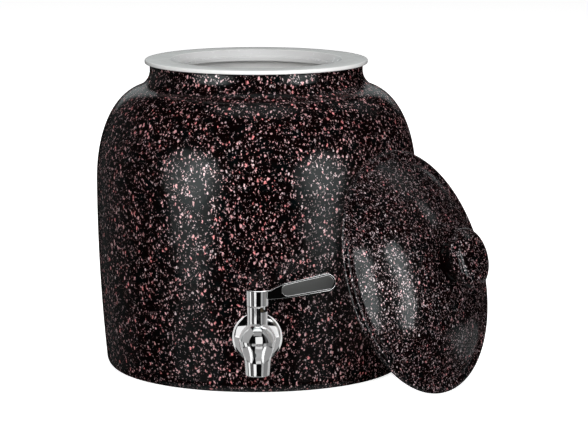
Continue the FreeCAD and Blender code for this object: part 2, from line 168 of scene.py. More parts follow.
def smooth(piece, degrees=35):
    pick(piece)
    bpy.ops.object.shade_smooth_by_angle(angle=math.radians(degrees))
    return piece


def dress(piece, material):
    piece.data.materials.clear()
    piece.data.materials.append(material)


def startMaterial(name):
    material = bpy.data.materials.new(name)
    material.use_nodes = True
    tree = material.node_tree
    surface = tree.nodes["Principled BSDF"]
    place = addNode(tree, "ShaderNodeTexCoord").outputs["Object"]
    return material, tree, surface, place


def addNode(tree, kind, inputs=None, **settings):
    node = tree.nodes.new(kind)
    for key, value in settings.items():
        setattr(node, key, value)
    for key, value in (inputs or {}).items():
        if isinstance(value, bpy.types.NodeSocket):
            tree.links.new(value, node.inputs[key])
        else:
            node.inputs[key].default_value = value
    return node


def sums(tree, operation, first, second=0.5, clamp=False):
    return addNode(tree, "ShaderNodeMath", {0: first, 1: second}, operation=operation,
                   use_clamp=clamp).outputs[0]


def noise(tree, place, scale, detail=2.0, roughness=0.5):
    return addNode(tree, "ShaderNodeTexNoise", {"Vector": place, "Scale": scale, "Detail": detail,
                                                "Roughness": roughness})


def remap(tree, value, low, high, newLow=0.0, newHigh=1.0):
    return addNode(tree, "ShaderNodeMapRange", {"Value": value, "From Min": low, "From Max": high,
                                                "To Min": newLow, "To Max": newHigh}).outputs[0]


def blendColour(tree, factor, first, second):
    node = addNode(tree, "ShaderNodeMix", data_type="RGBA")
    for socket, value in ((node.inputs[0], factor), (node.inputs[6], first), (node.inputs[7], second)):
        if isinstance(value, bpy.types.NodeSocket):
            tree.links.new(value, socket)
        else:
            socket.default_value = value if isinstance(value, float) else (*value, 1.0)
    return node.outputs[2]


def bumped(tree, surface, height, distance):
    bump = addNode(tree, "ShaderNodeBump", {"Height": height, "Distance": distance})
    tree.links.new(bump.outputs[0], surface.inputs["Normal"])


def flecks(tree, place, scale, size, share, edge):
    # cells of a Voronoi: each has its own size, and part of them stay empty
    cells = addNode(tree, "ShaderNodeTexVoronoi", {"Vector": place, "Scale": scale})
    chance = addNode(tree, "ShaderNodeSeparateColor", {"Color": cells.outputs["Color"]})
    filled = sums(tree, "LESS_THAN", chance.outputs[0], share)
    reach = remap(tree, chance.outputs[1], 0.0, 1.0, size * 0.55, size * 1.25)
    inside = sums(tree, "SUBTRACT", reach, cells.outputs["Distance"])
    mask = sums(tree, "MULTIPLY", sums(tree, "MULTIPLY", inside, edge, clamp=True), filled)
    return mask, chance.outputs[2]


crockLook = {
    "ground": (0.0014, 0.0004, 0.0004),
    "coolGround": (0.0005, 0.0018, 0.002),
    "coral": (0.82, 0.23, 0.23),
    "rose": (0.8, 0.43, 0.44),
    "chalk": (0.72, 0.57, 0.58),
    "rust": (0.17, 0.055, 0.055),
    "mauve": (0.44, 0.31, 0.33),
    "stretch": 0.62,
    "grainTurn": (0.25, 0.15, 0),
    "ragScale": 520,
    "ragged": 0.0034,
    "driftScale": 26,
    "sparse": 0.82,
    "crowded": 1.2,
    "patchScale": 120,
    "roughness": 0.12,
    "fleckRoughness": 0.28,
    "glassIor": 2.3,
    "shine": 0.065,
    "fleckShine": 1.0,
    "fleckTint": (1.0, 0.77, 0.78),
    "waveScale": 34,
    "peelScale": 420,
    "peelShare": 0.04,
    "fleckRise": 0.015,
    "relief": 0.0006,
}
crockFlecks = {   # cells per metre, size in cells, share of cells filled, edge, colours
    "dust": (900, 0.34, 0.34, 8.0, "rust", "mauve"),
    "fine": (640, 0.36, 0.34, 9.0, "mauve", "rose"),
    "pale": (470, 0.36, 0.30, 9.0, "rose", "chalk"),
    "coral": (360, 0.36, 0.26, 9.0, "coral", "rose"),
}
lidLook = dict(crockLook, coral=(0.84, 0.26, 0.27), rose=(0.76, 0.44, 0.46), chalk=(0.8, 0.69, 0.71),
               mauve=(0.42, 0.33, 0.35), ragged=0.0028)
lidFlecks = {
    "dust": (1150, 0.36, 0.38, 7.0, "rust", "mauve"),
    "fine": (860, 0.38, 0.38, 8.0, "mauve", "rose"),
    "pale": (640, 0.36, 0.30, 8.0, "mauve", "chalk"),
    "coral": (520, 0.36, 0.12, 8.0, "coral", "rose"),
}
knobShadeFlecks = {   # painted shade under the knob: round its neck the flecks are fewer and darker, standing for the knob's shadow
    "dust": (1150, 0.36, 0.14, 7.0, "rust", "rust"),
    "fine": (860, 0.38, 0.06, 8.0, "rust", "mauve"),
}


def speckledGlaze(name, look, layers):
    material, tree, surface, place = startMaterial(name)
    wobble = noise(tree, place, look["ragScale"])
    shifted = addNode(tree, "ShaderNodeVectorMath", {0: wobble.outputs["Color"], 1: (0.5, 0.5, 0.5)},
                      operation="SUBTRACT")
    scaled = addNode(tree, "ShaderNodeVectorMath", {0: shifted.outputs[0], "Scale": look["ragged"]},
                     operation="SCALE")
    shaken = addNode(tree, "ShaderNodeVectorMath", {0: place, 1: scaled.outputs[0]}).outputs[0]
    grain = addNode(tree, "ShaderNodeMapping", {"Vector": shaken, "Rotation": look["grainTurn"],
                                                "Scale": (1, 1, look["stretch"])}).outputs[0]
    drift = noise(tree, place, look["driftScale"]).outputs["Fac"]
    crowd = remap(tree, drift, 0.3, 0.7, look["sparse"], look["crowded"])
    patches = noise(tree, place, look["patchScale"], 3.0).outputs["Fac"]
    colour = blendColour(tree, remap(tree, patches, 0.48, 0.68), look["ground"], look["coolGround"])
    raised = None
    for scale, size, share, edge, first, second in layers.values():
        mask, hue = flecks(tree, grain, scale, size, sums(tree, "MULTIPLY", crowd, share), edge)
        tint = blendColour(tree, remap(tree, hue, 0.35, 0.85), look[first], look[second])
        faded = remap(tree, noise(tree, place, scale * 0.6, 1.0).outputs["Fac"], 0.3, 0.62, 0.25, 1.0)
        colour = blendColour(tree, sums(tree, "MULTIPLY", mask, faded), colour, tint)
        raised = mask if raised is None else sums(tree, "MAXIMUM", raised, mask)
    tree.links.new(colour, surface.inputs["Base Color"])
    tree.links.new(remap(tree, raised, 0.0, 1.0, look["roughness"], look["fleckRoughness"]),
                   surface.inputs["Roughness"])
    tree.links.new(remap(tree, raised, 0.0, 1.0, look["shine"], look["fleckShine"]),
                   surface.inputs["Specular IOR Level"])
    tree.links.new(blendColour(tree, raised, (1.0, 1.0, 1.0), look["fleckTint"]),
                   surface.inputs["Specular Tint"])
    surface.inputs["IOR"].default_value = look["glassIor"]
    waves = noise(tree, place, look["waveScale"]).outputs["Fac"]
    peel = noise(tree, place, look["peelScale"], 1.0).outputs["Fac"]
    relief = sums(tree, "ADD", waves, sums(tree, "MULTIPLY", peel, look["peelShare"]))
    relief = sums(tree, "ADD", relief, sums(tree, "MULTIPLY", raised, look["fleckRise"]))
    bumped(tree, surface, relief, look["relief"])
    return material


def plainGlaze(name, colour, roughness):
    material, tree, surface, place = startMaterial(name)
    cloud = noise(tree, place, 18, 3.0).outputs["Fac"]
    pin = flecks(tree, place, 300, 0.12, 0.04, 12.0)[0]
    shade = blendColour(tree, remap(tree, cloud, 0.35, 0.7), colour,
                        tuple(part * 0.94 for part in colour))
    tree.links.new(blendColour(tree, sums(tree, "MULTIPLY", pin, 0.5), shade, (0.35, 0.3, 0.26)),
                   surface.inputs["Base Color"])
    surface.inputs["Roughness"].default_value = roughness
    bumped(tree, surface, noise(tree, place, 60, 2.0).outputs["Fac"], 0.0004)
    return material


def bareStoneware(name):
    material, tree, surface, place = startMaterial(name)
    grit = noise(tree, place, 1400, 3.0, 0.7).outputs["Fac"]
    cloud = noise(tree, place, 40, 3.0).outputs["Fac"]
    body = blendColour(tree, remap(tree, cloud, 0.3, 0.7), (0.62, 0.58, 0.52), (0.54, 0.49, 0.43))
    tree.links.new(blendColour(tree, remap(tree, grit, 0.5, 0.75, 0.0, 0.5), body, (0.4, 0.35, 0.3)),
                   surface.inputs["Base Color"])
    surface.inputs["Roughness"].default_value = 0.85
    bumped(tree, surface, grit, 0.0002)
    return material


def mouldedPlastic(name, colour, roughness, grain=900, depth=0.00002):
    material, tree, surface, place = startMaterial(name)
    cloud = noise(tree, place, 35, 2.0).outputs["Fac"]
    tree.links.new(blendColour(tree, remap(tree, cloud, 0.3, 0.7), colour,
                               tuple(part * 0.95 for part in colour)), surface.inputs["Base Color"])
    scuff = noise(tree, place, 240, 4.0, 0.65).outputs["Fac"]
    tree.links.new(remap(tree, scuff, 0.3, 0.8, roughness * 0.85, roughness * 1.3),
                   surface.inputs["Roughness"])
    bumped(tree, surface, noise(tree, place, grain, 2.0).outputs["Fac"], depth)
    return material


def polishedMetal(name, colour, roughness):
    material, tree, surface, place = startMaterial(name)
    surface.inputs["Metallic"].default_value = 1.0
    smear = noise(tree, place, 160, 3.0, 0.6).outputs["Fac"]
    tree.links.new(blendColour(tree, remap(tree, smear, 0.3, 0.8), colour,
                               tuple(part * 0.93 for part in colour)), surface.inputs["Base Color"])
    tree.links.new(remap(tree, smear, 0.35, 0.75, roughness, roughness * 2.2),
                   surface.inputs["Roughness"])
    bumped(tree, surface, noise(tree, place, 90, 1.0).outputs["Fac"], 0.00004)
    return material


def turnedMetal(name, colour, roughness, axis):
    # fine lathe rings along one axis
    material, tree, surface, place = startMaterial(name)
    surface.inputs["Metallic"].default_value = 1.0
    stretch = [30.0, 30.0, 30.0]
    stretch["XYZ".index(axis)] = 5200.0
    along = addNode(tree, "ShaderNodeMapping", {"Vector": place, "Scale": stretch}).outputs[0]
    rings = noise(tree, along, 1.0, 3.0, 0.6).outputs["Fac"]
    tree.links.new(blendColour(tree, remap(tree, rings, 0.3, 0.7), colour,
                               tuple(part * 0.82 for part in colour)), surface.inputs["Base Color"])
    tree.links.new(remap(tree, rings, 0.3, 0.7, roughness, roughness * 1.5),
                   surface.inputs["Roughness"])
    bumped(tree, surface, rings, 0.00003)
    return material


def softSeal(name, colour, roughness, clear=0.0):
    material, tree, surface, place = startMaterial(name)
    dust = noise(tree, place, 500, 4.0, 0.7).outputs["Fac"]
    tree.links.new(blendColour(tree, remap(tree, dust, 0.5, 0.8, 0.0, 0.35), colour,
                               tuple(min(1.0, part * 1.6 + 0.02) for part in colour)),
                   surface.inputs["Base Color"])
    surface.inputs["Roughness"].default_value = roughness
    surface.inputs["Subsurface Weight"].default_value = clear
    surface.inputs["Subsurface Radius"].default_value = (0.004, 0.004, 0.004)
    bumped(tree, surface, dust, 0.00003)
    return material


crockGlaze = speckledGlaze("crockSpeckledGlaze", crockLook, crockFlecks)
lidGlaze = speckledGlaze("lidSpeckledGlaze", lidLook, lidFlecks)
# painted shade: a darker speckled glaze for the shaded hollow round the knob's neck
knobShadeGlaze = speckledGlaze("knobPaintedShadeGlaze", lidLook, knobShadeFlecks)
whiteGlaze = plainGlaze("whiteInnerGlaze", (0.78, 0.78, 0.76), 0.16)
bareClay = bareStoneware("bareStonewareFoot")
ringPlastic = mouldedPlastic("whiteRingPlastic", (0.83, 0.83, 0.82), 0.2)
# painted shade: the same white ring plastic, darkened for the funnel that sits in shade
shadedFunnelPlastic = mouldedPlastic("paintedShadeFunnelPlastic", (0.64, 0.64, 0.64), 0.24)
chrome = polishedMetal("mirrorChrome", (0.86, 0.86, 0.86), 0.03)
insertPlastic = mouldedPlastic("greyInsertPlastic", (0.055, 0.056, 0.055), 0.32, 1500, 0.00003)
turnedSteel = turnedMetal("turnedSteel", (0.62, 0.62, 0.61), 0.24, "Y")
turnedBrass = turnedMetal("turnedBrass", (0.26, 0.19, 0.09), 0.36, "Z")
milkySilicone = softSeal("milkySilicone", (0.74, 0.75, 0.74), 0.45, 0.3)
blackRubber = softSeal("blackRubber", (0.02, 0.02, 0.02), 0.6)
discCeramic = plainGlaze("lappedCeramic", (0.82, 0.81, 0.77), 0.3)
acetal = mouldedPlastic("naturalAcetal", (0.8, 0.8, 0.76), 0.35)
print("stage: materials ready")


crockShape = {
    "belly": 0.1341,
    "bellyHeight": 0.1597,
    "heel": 0.1256,
    "heelRounding": 0.0106,
    "neck": 0.0892,
    "shoulderRise": 0.0787,
    "shoulderFullness": 0.78,
    "neckRounding": 0.0155,
    "wall": 0.008,
    "floor": 0.009,
    "innerHeelRounding": 0.014,
    "innerNeckRounding": 0.005,
    "rimRounding": 0.0015,
    "tapHole": 0.009,
    "drillLength": 0.08,
    "foot": 0.06,
    "slack": 0.0002,
    "floorSlack": 0.004,
    "innerShare": 0.6,
    "roofTilt": -0.3,
    "floorTilt": 0.5,
    "leastInward": 0.000001,
    "steps": 224,
    "shoulderSteps": 480,
    "shoulderStride": 12,
    "shoulderGap": 4,
}


def crockSide(shape, inset, low, heelRounding, neckRounding):
    # from the foot's edge up the wall and over the shoulder to the neck
    belly = shape["belly"] - inset
    neck = shape["neck"] - inset
    rise = shape["shoulderRise"] - inset
    middle = shape["bellyHeight"]
    spread = shape["belly"] - shape["heel"]
    big = ((middle - low) ** 2 + spread ** 2) / (2 * spread)
    bigCentre = (belly - big, middle)
    down = middle - low - heelRounding
    footX = bigCentre[0] + math.sqrt((big - heelRounding) ** 2 - down ** 2)
    meet = -math.degrees(math.asin(down / (big - heelRounding)))
    path = arcPoints((footX, low + heelRounding), heelRounding, -90, meet, 12)
    path += arcPoints(bigCentre, big, meet, 0, 26)[1:]
    steps = shape["shoulderSteps"]
    stride = shape["shoulderStride"]
    shoulder = quarterCurve((belly, middle), (belly, middle + rise), (neck, middle + rise),
                            shape["shoulderFullness"], steps)
    for k in range(1, steps):   # as far as the hollow under the neck
        run = Vector(shoulder[k + 1]) - Vector(shoulder[k - 1])
        lean = Vector((run.y, -run.x)).normalized()
        if shoulder[k][0] + neckRounding * lean.x < neck + neckRounding:
            break
    path += shoulder[stride:k - shape["shoulderGap"]:stride] + [shoulder[k]]
    centre = (path[-1][0] + lean.x * neckRounding, path[-1][1] + lean.y * neckRounding)
    facing = math.degrees(math.atan2(lean.y, lean.x))
    path += arcPoints(centre, neckRounding, facing - 180, -180, 14)[1:]
    return path


def makeCrock(shape):
    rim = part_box("crock")[1].z
    neck = shape["neck"]
    bore = neck - shape["wall"]
    edge = shape["rimRounding"]
    outside = crockSide(shape, 0.0, 0.0, shape["heelRounding"], shape["neckRounding"])
    inside = crockSide(shape, shape["wall"], shape["floor"], shape["innerHeelRounding"],
                       shape["innerNeckRounding"])
    top = arcPoints((neck - edge, rim - edge), edge, 0, 90, 5)
    top += arcPoints((bore + edge, rim - edge), edge, 90, 180, 5)
    path = [(0, 0), (shape["foot"], 0)] + outside + top + inside[::-1]
    path += [(shape["foot"], shape["floor"]), (0, shape["floor"])]
    crock = spunPiece("crockBody", path, shape["steps"])
    tapHeight = sum(corner.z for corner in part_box("lock_nut")) / 2
    deselectAll()
    bpy.ops.mesh.primitive_cylinder_add(vertices=64, radius=shape["tapHole"], depth=shape["drillLength"],
                                        location=(0, -shape["belly"], tapHeight),
                                        rotation=(math.radians(90), 0, 0))
    combine(crock, bpy.context.object, "DIFFERENCE")
    smooth(crock, 40)
    dress(crock, crockGlaze)
    crock.data.materials.append(whiteGlaze)
    crock.data.materials.append(bareClay)
    inner = shape["belly"] - shape["wall"] * shape["innerShare"]
    for face in crock.data.polygons:
        centre = face.center
        across = math.hypot(centre.x, centre.y)
        outward = face.normal.x * centre.x + face.normal.y * centre.y
        underRoof = face.normal.z < shape["roofTilt"] and centre.z > shape["bellyHeight"]
        onFloor = face.normal.z > shape["floorTilt"] and centre.z < shape["floor"] + shape["floorSlack"]
        if centre.z < shape["slack"]:
            face.material_index = 2
        elif across < bore + shape["slack"] or (
                across < inner and (outward < -shape["leastInward"] or underRoof or onFloor)):
            face.material_index = 1
    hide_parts("crock")
    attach(crock, "pot")
    return crock


crock = makeCrock(crockShape)
print("stage: crock", len(crock.data.polygons), "faces")


ringShape = {
    "flange": 0.0934,
    "flangeUnderEdge": 0.0009,
    "funnelTop": 0.0719,
    "funnelEdge": 0.0014,
    "funnelSlack": 0.0004,
    "opening": 0.0628,
    "funnelDepth": 0.0067,
    "lip": 0.0025,
    "wall": 0.0025,
    "skirt": 0.0807,
    "edge": 0.0011,
    "softEdge": 0.0008,
    "fineEdge": 0.0002,
    "grooveOut": 0.0032,
    "grooveOutEdge": 0.0004,
    "grooveOutLean": 0.0003,
    "grooveIn": 0.0016,
    "grooveInLean": 0.0002,
    "grooveFloor": 0.0005,
    "lipRise": 0.0013,
    "lipFall": 0.0002,
    "lipOutEdge": 0.0003,
    "lipInEdge": 0.0005,
    "steps": 224,
}


def makeRing(shape):
    low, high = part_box("bottle_ring")
    top = high.z
    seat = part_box("crock")[1].z
    wall = shape["wall"]
    soft = shape["softEdge"]
    fine = shape["fineEdge"]
    opening = shape["opening"]
    lipTop = top - shape["funnelDepth"]
    lipBottom = lipTop - shape["lip"]
    run = shape["funnelTop"] - opening
    slope = shape["funnelDepth"] / run
    drop = wall * math.hypot(run, shape["funnelDepth"]) / run
    meets = opening + (seat - lipTop + drop) / slope
    grooveOut = opening + shape["grooveOut"]
    grooveIn = opening + shape["grooveIn"]
    grooveFloor = lipTop + shape["grooveFloor"]
    lipHigh = lipTop + shape["lipRise"]
    start = ((shape["flange"] + shape["funnelTop"]) / 2, top, 0)
    corners = [
        start,
        (shape["funnelTop"], top, shape["funnelEdge"]),
        (grooveOut, lipTop + slope * shape["grooveOut"], shape["grooveOutEdge"]),
        (grooveOut - shape["grooveOutLean"], grooveFloor, fine),
        (grooveIn + shape["grooveInLean"], grooveFloor, fine),
        (grooveIn, lipHigh, shape["lipOutEdge"]),
        (opening, lipHigh - shape["lipFall"], shape["lipInEdge"]),
        (opening, lipBottom, soft),
        (opening + wall, lipBottom, soft),
        (opening + wall, lipTop - drop + slope * wall, soft),
        (meets, seat, soft),
        (shape["skirt"] - wall, seat, soft),
        (shape["skirt"] - wall, low.z, soft),
        (shape["skirt"], low.z, soft),
        (shape["skirt"], seat, fine),
        (shape["flange"], seat, shape["flangeUnderEdge"]),
        (shape["flange"], top, shape["edge"]),
        start,
    ]
    ring = spunPiece("bottleRing", softened(corners, 6), shape["steps"])
    smooth(ring, 40)
    dress(ring, ringPlastic)
    ring.data.materials.append(shadedFunnelPlastic)
    # faces inside the funnel's top edge take the darker, painted shade copy of the ring plastic
    for face in ring.data.polygons:
        if math.hypot(face.center.x, face.center.y) < shape["funnelTop"] - shape["funnelSlack"]:
            face.material_index = 1
    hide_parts("bottle_ring")
    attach(ring, "ring")
    return ring


ring = makeRing(ringShape)
print("stage: bottle ring")


lidShape = {
    "rim": 0.1012,
    "rimThickness": 0.007,
    "rimRounding": 0.00345,
    "dome": 0.093,
    "domeRise": 0.031,
    "domeSteps": 24,
    "crease": 0.002,
    "knob": 0.025,
    "knobThickness": 0.0168,
    "knobFullness": 0.9,
    "knobNeck": 0.014,
    "knobNeckHeight": 0.0095,
    "knobNeckGap": 0.0008,
    "knobNeckTop": 0.0015,
    "knobNeckEdge": 0.001,
    "knobFootRounding": 0.0035,
    "domeStart": 0.005,
    "wall": 0.006,
    "spigot": 0.06703,
    "spigotWidth": 0.006,
    "spigotHeight": 0.003,
    "spigotRoot": 0.0008,
    "spigotEdge": 0.001,
    "hollowRounding": 0.006,
    "capSteps": 12,
    # where the painted shade round the knob's neck begins, across and up
    "paintedShadeFrom": 0.0132,
    "paintedShadeUp": 0.033,
    "knobEdgeWidth": 0.0012,
    "knobFootWidth": 0.0028,
    "underTilt": -0.2,
    "footTilt": 0.93,
    "whiteUpTo": 0.0335,
    "whiteTilt": 0.3,
    "hollowSlack": 0.0005,
    "bareRing": 0.006,
    "slack": 0.0001,
    "leanDegrees": 17.3,
    "facingDegrees": -34.2,
    "steps": 224,
}


def lidOutline(shape):
    thick = shape["rimThickness"]
    rise = shape["domeRise"]
    ball = (shape["dome"] ** 2 + rise ** 2) / (2 * rise)

    def domeUp(across):
        return thick + rise - ball + math.sqrt(ball ** 2 - across ** 2)

    neck = shape["knobNeck"]
    neckFoot = domeUp(neck)
    knob = shape["knob"]
    knobLow = neckFoot + shape["knobNeckHeight"]
    knobHigh = knobLow + shape["knobThickness"]
    knobEdge = (knob, (knobLow + knobHigh) / 2)
    face = quarterCurve((0, knobHigh), (knob, knobHigh), knobEdge, shape["knobFullness"], 18)
    under = quarterCurve(knobEdge, (knob, knobLow), (0, knobLow), shape["knobFullness"], 24)
    clear = neck + shape["knobNeckGap"]
    corners = [(*point, 0) for point in face + under[1:] if point[0] > clear or point in face]
    corners.append((neck, knobLow + shape["knobNeckTop"], shape["knobNeckEdge"]))
    corners.append((neck, neckFoot, shape["knobFootRounding"]))
    start = neck + shape["domeStart"]
    for k in range(1, shape["domeSteps"]):
        across = start + (shape["dome"] - neck - shape["domeStart"]) * k / shape["domeSteps"]
        corners.append((across, domeUp(across), 0))
    hollow = shape["spigot"] - shape["spigotWidth"]
    hollowRoof = domeUp(hollow) - shape["wall"]
    corners += [
        (shape["dome"], thick, shape["crease"]),
        (shape["rim"], thick, shape["rimRounding"]),
        (shape["rim"], 0, shape["rimRounding"]),
        (shape["spigot"], 0, shape["spigotRoot"]),
        (shape["spigot"], -shape["spigotHeight"], shape["spigotEdge"]),
        (hollow, -shape["spigotHeight"], shape["spigotEdge"]),
        (hollow, hollowRoof, shape["hollowRounding"]),
    ]
    capRise = thick + rise - shape["wall"] - hollowRoof
    cap = (hollow ** 2 + capRise ** 2) / (2 * capRise)
    for k in range(2, shape["capSteps"] + 1):
        across = hollow * (1 - k / shape["capSteps"])
        corners.append((across, hollowRoof + capRise - cap + math.sqrt(cap ** 2 - across ** 2), 0))
    return softened(corners, 8)


def lidPlace(shape):
    # the rim's lowest, nearest and leftmost points give its centre
    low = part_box("lid")[0]
    lean = math.radians(shape["leanDegrees"])
    facing = math.radians(shape["facingDegrees"])
    normal = Vector((math.cos(lean) * math.cos(facing), math.cos(lean) * math.sin(facing),
                     math.sin(lean)))
    bead = shape["rimThickness"] / 2
    centre = Vector([low[k] + bead - bead * normal[k]
                     + (shape["rim"] - bead) * math.sqrt(1 - normal[k] ** 2) for k in range(3)])
    turn = Matrix.Rotation(facing, 4, "Z") @ Matrix.Rotation(math.radians(90) - lean, 4, "Y")
    return Matrix.Translation(centre) @ turn


def makeLid(shape):
    lid = spunPiece("crockLid", lidOutline(shape), shape["steps"])
    smooth(lid, 40)
    dress(lid, lidGlaze)
    lid.data.materials.append(whiteGlaze)
    lid.data.materials.append(bareClay)
    lid.data.materials.append(knobShadeGlaze)
    underKnob = shape["knob"] - shape["knobEdgeWidth"]
    knobFoot = shape["knobNeck"] + shape["knobFootWidth"]
    hollow = shape["spigot"] - shape["spigotWidth"] + shape["hollowSlack"]
    for face in lid.data.polygons:
        across = math.hypot(face.center.x, face.center.y)
        up = face.center.z
        tilt = face.normal.z
        # faces round and under the knob's neck take the painted shade glaze
        if up > shape["paintedShadeUp"] and shape["paintedShadeFrom"] < across < underKnob and (
                tilt < shape["underTilt"] or across < knobFoot and tilt < shape["footTilt"]):
            face.material_index = 3
        elif across < hollow and up < shape["whiteUpTo"]:
            if tilt < shape["whiteTilt"]:
                face.material_index = 1
        elif up < shape["slack"] and across < shape["rim"] - shape["bareRing"]:
            face.material_index = 2
    moveTo(lid, lidPlace(shape))
    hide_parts("lid")
    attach(lid, "lid")
    return lid


lid = makeLid(lidShape)
print("stage: lid")


spindleLow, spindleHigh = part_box("spindle")
bodyLow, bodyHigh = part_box("tap_body")
coverLow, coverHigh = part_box("tap_escutcheon")
columnY = (spindleLow.y + spindleHigh.y) / 2
shankZ = (coverLow.z + coverHigh.z) / 2
onColumn = Matrix.Translation((0, columnY, 0))
onShank = Matrix.Translation((0, 0, shankZ)) @ Matrix.Rotation(math.radians(90), 4, "X")

tapShape = {
    "column": 0.0081,
    "columnEdge": 0.00035,
    "bulb": 0.01475,
    "bulbHeight": 0.0528,
    "spoutOffset": 0.004,
    "spoutTip": 0.0095,
    "spoutTipEdge": 0.0009,
    "spoutRoot": 0.0103,
    "spoutRootHeight": 0.0345,
    "spoutBore": 0.0065,
    "chamferWidth": 0.0008,
    "chamferHeight": 0.0012,
    "chamferEdge": 0.0006,
    "neck": 0.0095,
    "shank": 0.008,
    "shankEdge": 0.0006,
    "shankBore": 0.0045,
    "cartridgeBore": 0.006,
    "seat": 0.041,
    "seatLand": 0.003,
    "seatPort": 0.004,
    "stopDepth": 0.004,
    "recessInner": 0.003,
    "recessOuter": 0.012,
    "recessStart": -74.5,
    "recessSweep": 121.0,
    "overshoot": 0.001,
}


def sCurve(start, end, count):
    path = []
    for k in range(count + 1):
        step = k / count
        ease = step * step * (3 - 2 * step)
        path.append((start[0] + (end[0] - start[0]) * ease, start[1] + (end[1] - start[1]) * step, 0))
    return path


def tapRod(radius, low, high, matrix, steps=96, edge=0.0):
    corners = [(0, low, 0), (radius, low, edge), (radius, high, edge), (0, high, 0)]
    return moveTo(spunPiece("tapRod", softened(corners, 3), steps), matrix)


def makeTapBody(shape):
    tip = bodyLow.z
    top = bodyHigh.z
    bulb = shape["bulb"]
    middle = shape["bulbHeight"]
    past = shape["overshoot"]
    corners = [(*point, 0) for point in arcPoints((0, middle), bulb, 90, 0, 20)]
    corners += sCurve((bulb, middle), (shape["spoutRoot"], shape["spoutRootHeight"]), 18)[1:]
    boreTop = shape["seat"] - shape["seatLand"]
    corners += [
        (shape["spoutTip"], tip, shape["spoutTipEdge"]),
        (shape["spoutBore"] + shape["chamferWidth"], tip, shape["chamferEdge"]),
        (shape["spoutBore"], tip + shape["chamferHeight"], shape["chamferEdge"]),
        (shape["spoutBore"], boreTop, 0),
        (0, boreTop, 0),
    ]
    body = moveTo(spunPiece("tapBody", softened(corners, 5), 128),
                  onColumn @ Matrix.Translation((0, -shape["spoutOffset"], 0)))
    column = tapRod(shape["column"], middle, top, onColumn, 128, shape["columnEdge"])
    combine(body, column, "UNION")
    combine(body, tapRod(shape["neck"], -coverLow.y, -columnY, onShank, 128), "UNION")
    combine(body, tapRod(shape["shank"], -bodyHigh.y, -columnY, onShank, 96, shape["shankEdge"]), "UNION")
    combine(body, tapRod(shape["shankBore"], -bodyHigh.y - past, -columnY, onShank), "DIFFERENCE")
    combine(body, tapRod(shape["cartridgeBore"], shape["seat"], top + past, onColumn), "DIFFERENCE")
    combine(body, tapRod(shape["seatPort"], boreTop - past, top, onColumn), "DIFFERENCE")
    inner, outer = shape["recessInner"], shape["recessOuter"]
    low = top - shape["stopDepth"]
    high = top + 2 * past
    recess = [(inner, low), (outer, low), (outer, high), (inner, high), (inner, low)]
    cutter = spunPiece("stopCutter", recess, 60, shape["recessSweep"])
    moveTo(cutter, onColumn @ Matrix.Rotation(math.radians(shape["recessStart"]), 4, "Z"))
    combine(body, cutter, "DIFFERENCE")
    body.name = "tapBody"
    smooth(body, 30)
    applied(body, "WEIGHTED_NORMAL", keep_sharp=True)
    dress(body, chrome)
    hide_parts("tap_body")
    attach(body, "pot")
    return body


tapBody = makeTapBody(tapShape)
print("stage: tap body", len(tapBody.data.polygons), "faces")


coverShape = {
    "radius": 0.0202,
    "rim": 0.0014,
    "collar": 0.0115,
    "cup": 0.016,
    "cupDepth": 0.0024,
    "hole": 0.00805,
    "edge": 0.0004,
    "holeBackEdge": 0.0002,
    "holeFaceEdge": 0.0003,
    "fullness": 0.3,
}


def makeEscutcheon(shape):
    back = -coverHigh.y
    face = -coverLow.y
    start = ((shape["hole"] + shape["collar"]) / 2, face, 0)
    crown = quarterCurve((shape["collar"], face), (shape["radius"], face),
                         (shape["radius"], back + shape["rim"]), shape["fullness"], 20)
    corners = [start] + [(*point, 0) for point in crown]
    corners += [
        (shape["radius"], back, shape["edge"]),
        (shape["cup"], back, shape["edge"]),
        (shape["cup"], back + shape["cupDepth"], shape["edge"]),
        (shape["hole"], back + shape["cupDepth"], shape["holeBackEdge"]),
        (shape["hole"], face, shape["holeFaceEdge"]),
        start,
    ]
    cover = moveTo(spunPiece("tapEscutcheon", softened(corners, 4), 160), onShank)
    smooth(cover, 35)
    dress(cover, chrome)
    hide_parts("tap_escutcheon")
    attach(cover, "pot")
    return cover


escutcheon = makeEscutcheon(coverShape)
print("stage: escutcheon")


leverShape = {
    "hubTop": 0.0088,
    "hubBottom": 0.00855,
    "hubHeight": 0.013,
    "hubGap": 0.0005,
    "hubEdge": 0.0007,
    "hubFootEdge": 0.0003,
    "thickness": 0.0065,
    "reach": 0.0622,
    "tipRound": 0.0069,
    "heelRound": 0.0061,
    "heelReach": 0.024,
    "tipRise": 0.0122,
    "heelRise": 0.0066,
    "rootReach": 0.011,
    "rootDrop": 0.0076,
    "rootTopDrop": 0.0006,
    "rootTopBack": 0.0005,
    "rootTopFall": 0.0004,
    "rootSink": 0.002,
    "rootRound": 0.003,
    "bladeRound": 0.004,
    "turnAbove": 18,
    "turnBelow": 12,
    "edge": 0.00075,
    "slotInset": 0.0016,
    "slotDepth": 0.0008,
    "cutterDepth": 0.01,
    "insertGap": 0.00005,
    "insertEdge": 0.00025,
    "lugStart": 16.0,
    "lugSweep": 30.0,
    "lugInner": 0.0063,
    "lugClearance": 0.0004,
    "socket": 0.00305,
    "grip": 0.009,
    "screwHole": 0.002,
    "screwHeight": 0.006,
    "screwFrom": 0.002,
    "screwTo": 0.02,
    "overshoot": 0.001,
}


def leverCentres(shape):
    base = bodyHigh.z + shape["hubGap"]
    heel = Vector((shape["heelReach"], base + shape["heelRise"] + shape["heelRound"]))
    tip = Vector((shape["reach"] - shape["tipRound"], base + shape["tipRise"] + shape["tipRound"]))
    return heel, tip


def slotPath(shape, inset, count=20):
    # round the tip and the heel, closed
    heel, tip = leverCentres(shape)
    heelRound = shape["heelRound"] - inset
    tipRound = shape["tipRound"] - inset
    slope = math.degrees(math.atan2(tip.y - heel.y, tip.x - heel.x))
    spread = math.degrees(math.acos((heelRound - tipRound) / (tip - heel).length))
    path = arcPoints(tip, tipRound, slope + spread, slope - spread, count)
    path += arcPoints(heel, heelRound, slope + 360 - spread, slope + spread, count)
    return path + path[:1]


